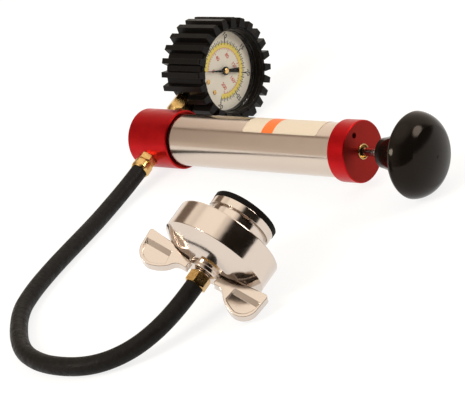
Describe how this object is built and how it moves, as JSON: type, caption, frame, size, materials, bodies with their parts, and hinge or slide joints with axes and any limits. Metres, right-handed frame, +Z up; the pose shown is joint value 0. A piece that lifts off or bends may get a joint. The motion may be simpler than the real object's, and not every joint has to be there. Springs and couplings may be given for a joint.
{
  "type": "radiator pressure tester",
  "caption": "Hand pump with a dial gauge, a short hose and a winged cap that locks onto a radiator neck to test a cooling system for leaks.",
  "frame": {"origin": "centre of the bottom of the tester without its hose, at rest on a flat surface", "axes": "+X along the barrel from its head to the knob, +Y from the adapter towards the gauge, +Z up"},
  "size_m": [0.2286, 0.3086, 0.0693],
  "materials": {
    "red_metal": "satin",
    "tube_metal": "polished",
    "brass": "machined",
    "steel": "satin",
    "piston_plastic": "matte",
    "rubber": "matte",
    "knob_plastic": "gloss",
    "case_paint": "satin",
    "dial_white": "matte",
    "lens": "clear",
    "cast_chrome": "bright cast"
  },
  "bodies": {
    "pump_body": {"head_cap": "red_metal", "barrel_tube": "tube_metal", "barrel_seal": "rubber", "rear_cap": "red_metal", "rod_bush": "brass", "bumper": "rubber", "valve_seat": "brass", "valve_spring": "steel", "hose_fitting": "brass", "gauge_fitting": "brass", "gauge_socket": "brass", "gauge_case": "case_paint", "bourdon_tube": "brass", "movement_plate": "brass", "dial_plate": "dial_white", "dial_screws": "brass", "dial_spacer": "case_paint", "gauge_lens": "lens", "bezel": "knob_plastic", "gauge_boot": "rubber", "adapter_stem": "brass", "hose_end": "brass", "cap_spring": "steel", "plunger": "cast_chrome", "neck_seal": "rubber", "seal_screw": "brass", "hose": "rubber"},
    "pump_rod": {"piston_rod": "steel", "piston": "piston_plastic", "piston_cup": "rubber", "piston_washer": "steel", "piston_nut": "steel", "knob": "knob_plastic", "knob_insert": "brass"},
    "check_ball": {"valve_ball": "steel"},
    "gauge_pointer": {"pointer": "case_paint", "pointer_spindle": "steel"},
    "spring_seat": {"thrust_washer": "steel"},
    "cap": {"adapter_cap": "cast_chrome", "lock_ring": "steel"}
  },
  "joints": [
    {"name": "pump_stroke", "type": "slide", "parent": "pump_body", "child": "pump_rod", "axis": [0.9995, 0, 0.0311], "range_m": [-0.013, 0.105]},
    {"name": "valve_lift", "type": "slide", "parent": "pump_body", "child": "check_ball", "axis": [-0.9995, 0, -0.0311], "range_m": [0, 0.0008], "stiffness_N_per_m": 30, "springref_m": -0.001, "deforming": ["valve_spring"]},
    {"name": "pointer_turn", "type": "hinge", "parent": "pump_body", "child": "gauge_pointer", "pos_m": [-0.1126, 0.08818, 0.03418], "axis": [-0.9995, 0, -0.0311], "range_deg": [0, 279], "stiffness_Nm_per_rad": 0.0002, "springref_deg": -2.86},
    {"name": "cap_press", "type": "slide", "parent": "pump_body", "child": "spring_seat", "axis": [0.1294, 0.9207, 0.3681], "range_m": [0, 0.005], "stiffness_N_per_m": 2000, "springref_m": -0.002, "deforming": ["cap_spring"]},
    {"name": "cap_turn", "type": "hinge", "parent": "spring_seat", "child": "cap", "pos_m": [0.0533, -0.09843, 0.02882], "axis": [0.1294, 0.9207, 0.3681], "continuous": true}
  ]
}
